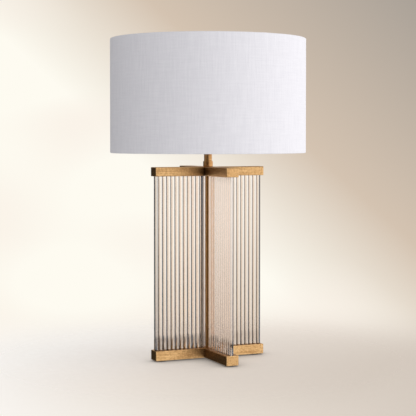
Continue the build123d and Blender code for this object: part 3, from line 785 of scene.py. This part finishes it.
LINEN_THICKNESS = 0.5 * MM
CLOTH_OFF_RING = LINEN_THICKNESS * 0.6    # middle of the cloth off what it lies on
CLOTH_OFF_LINER = LINEN_THICKNESS * 0.7
CLOTH_OFF_BORE = LINEN_THICKNESS * 0.5
CLOTH_OFF_CLOTH = LINEN_THICKNESS * 1.05
LINEN_LAP = 12 * MM
LAP_STEP = 4 * MM                # way over which the lap climbs onto the cloth below
LINEN_COLUMNS = 240
LINEN_ROWS = 40
LINEN_WAVES = 0.12 * MM          # how far the cloth moves in and out here and there
WAVES_ROUND = 9                  # noise scale round the shade
WAVES_UP = 30                    # and up it
RING_WIRE = 3.5 * MM
TUCK = 7 * MM                    # cloth glued to the liner's inside past the ring
TUCK_STARTS = 1.5 * MM
SEAM_TURN = math.radians(66)     # the seam is behind, away from the camera


def arc(centre, radius, start, end, steps):
    """Points of a round stretch, between two turns in degrees."""
    turns = [math.radians(start + (end - start) * i / steps) for i in range(steps + 1)]
    return [(centre[0] + radius * math.cos(turn), centre[1] + radius * math.sin(turn))
            for turn in turns]


def edge_section(ring_radius, ring_height, outside, bore):
    """Half of the cover's section, from its tucked edge round the lower ring."""
    wrap = RING_WIRE / 2 + CLOTH_OFF_RING
    top = ring_height + wrap
    tucked = [(bore, top + TUCK), (bore, top + TUCK_STARTS)]
    under = arc((ring_radius, ring_height), wrap, 110, 270, 8)
    outer = arc((outside - wrap, ring_height), wrap, 270, 360, 5)
    return tucked + under + outer


def linen_section():
    """The cover's whole section as (radius, height), from the lower tuck to the upper."""
    ring_low, ring_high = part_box("bottom_ring")
    ring_radius = ring_high.x - RING_WIRE / 2
    ring_height = (ring_low.z + ring_high.z) / 2
    outside = LINER_RADIUS + CLOTH_OFF_LINER
    bore = ring_high.x - CLOTH_OFF_BORE
    lower = edge_section(ring_radius, ring_height, outside, bore)
    middle = (linen_low.z + linen_high.z) / 2
    upper = [(radius, 2 * middle - height) for radius, height in reversed(lower)]
    low, high = lower[-1][1], upper[0][1]
    wall = [(outside, low + (high - low) * i / LINEN_ROWS) for i in range(1, LINEN_ROWS)]
    return lower + wall + upper


def section_normals(points):
    """Unit normals of a section, on its outer side."""
    normals = []
    for i, _ in enumerate(points):
        before, after = points[max(i - 1, 0)], points[min(i + 1, len(points) - 1)]
        run = Vector((after[0] - before[0], after[1] - before[1])).normalized()
        normals.append((run.y, -run.x))
    return normals


def lap_lift(along, once_round):
    """How far the cloth is lifted: not at all, and then over itself along the lap."""
    climb = min(max((along - once_round + LAP_STEP) / LAP_STEP, 0), 1)
    return CLOTH_OFF_CLOTH * climb * climb * (3 - 2 * climb)


def make_linen(cloth):
    """One strip of linen round the liner, lapped at the back and rolled over both rings."""
    section = linen_section()
    normals = section_normals(section)
    radius = section[len(section) // 2][0]
    once_round = math.tau * radius
    around = once_round + LINEN_LAP
    heights = [0.0]
    for before, after in zip(section, section[1:]):
        heights.append(heights[-1] + math.dist(before, after))
    form = bmesh.new()
    flat = form.loops.layers.uv.new("flat")
    columns = []
    for i in range(LINEN_COLUMNS + 1):
        along = around * i / LINEN_COLUMNS
        turn = SEAM_TURN + along / radius
        lift = lap_lift(along, once_round)
        column = []
        for (reach, height), (out, up) in zip(section, normals):
            soft = LINEN_WAVES * noise.noise(Vector((math.cos(turn) * WAVES_ROUND,
                                                     math.sin(turn) * WAVES_ROUND,
                                                     height * WAVES_UP)))
            far = reach + out * (lift + soft)
            column.append(form.verts.new((far * math.cos(turn), far * math.sin(turn),
                                          height + up * (lift + soft))))
        columns.append((along, column))
    for (along, column), (along_next, column_next) in zip(columns, columns[1:]):
        for j in range(len(section) - 1):
            face = form.faces.new((column[j], column_next[j], column_next[j + 1],
                                   column[j + 1]))
            corners = ((along, heights[j]), (along_next, heights[j]),
                       (along_next, heights[j + 1]), (along, heights[j + 1]))
            for loop, corner in zip(face.loops, corners):
                loop[flat].uv = corner
    cover = piece("linen_cover", form, cloth, "shade", "linen", "shade_linen")
    solid = cover.modifiers.new("thickness", "SOLIDIFY")
    solid.thickness = LINEN_THICKNESS
    solid.offset = 0


PAD_RADIUS = 11 * MM
PAD_EDGE = 0.6 * MM
PAD_SEGMENTS = 48


def make_pads(felt):
    """Four felt discs with soft edges, as the feet."""
    low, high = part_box("foot_pads")
    form = bmesh.new()
    outline = rounded_outline(PAD_RADIUS, low.z, high.z, PAD_EDGE)
    for angle in ARMS.values():
        lathe(form, on_arm(high.x - PAD_RADIUS, angle), outline, PAD_SEGMENTS)
    feet = piece("felt_feet", form, felt, "lamp", "felt", "foot_pads")


# ---- Finishes ----

TURNED_NODES = ("neck_collar", "neck_tube", "finial", "harp_stud", "socket_cap",
                "socket_shell", "sleeve_left", "sleeve_right")


def make_finishes():
    """One material for each slot."""
    return {
        "antique_brass": brass("antique_brass", linear(251, 205, 144), linear(186, 136, 84),
                               0.32, wear_and_highlight=0.6),
        "plated_steel": plain("plated_steel", linear(190, 188, 182), linear(170, 168, 162),
                              90, 0.35, Metallic=1.0),
        "rod_glass": rod_glass(),
        "felt": plain("felt", linear(60, 52, 46), linear(44, 38, 34), 500, 0.95, 0.8,
                      0.4 * MM),
        "black_plastic": plain("black_plastic", linear(30, 29, 28), linear(38, 37, 36), 300,
                               0.4),
        "clear_rubber": plain("clear_rubber", linear(214, 214, 210), linear(200, 200, 196),
                              200, 0.45, Transmission_Weight=0.6),
        "plate_aluminium": plain("plate_aluminium", linear(205, 205, 206),
                                 linear(188, 188, 190), 160, 0.35, Metallic=1.0),
        "fibre_card": plain("fibre_card", linear(176, 152, 122), linear(150, 128, 100), 240,
                            0.8, 0.4, 0.2 * MM),
        "contact_brass": plain("contact_brass", linear(222, 190, 120), linear(196, 160, 92),
                               200, 0.3, Metallic=1.0),
        "linen": linen(),
        "shade_liner_plastic": plain("shade_liner_plastic", linear(212, 208, 202),
                                     linear(202, 198, 192), 120, 0.55),
        "bulb_frosted_glass": plain("bulb_frosted_glass", linear(240, 240, 238),
                                    linear(232, 232, 230), 60, 0.45, 0.05,
                                    Transmission_Weight=0.3),
    }


def finish_nodes(finishes):
    """Gives each CAD node its slot's material. The post and turned brass have their own."""
    for part in frame["record"]["subparts"]:
        materials = frame["nodes"][part["node"]].data.materials
        materials.clear()
        materials.append(finishes[part["material_slot"]])
    frame["nodes"]["centre_post"].data.materials[0] = brass(
        "antique_brass_post", linear(246, 190, 124), linear(232, 164, 98), 0.45, turned=True)
    turned_brass = brass("antique_brass_turned", linear(240, 188, 128), linear(200, 144, 90),
                         0.3, turned=True)
    for node in TURNED_NODES:
        frame["nodes"][node].data.materials[0] = turned_brass


# ---- Build ----

make_camera()
make_world()
make_floor()
make_key()

finishes = make_finishes()
finish_nodes(finishes)
make_rods(finishes["rod_glass"])
make_linen(finishes["linen"])
make_pads(finishes["felt"])

bpy.context.scene.view_settings.view_transform = "Standard"
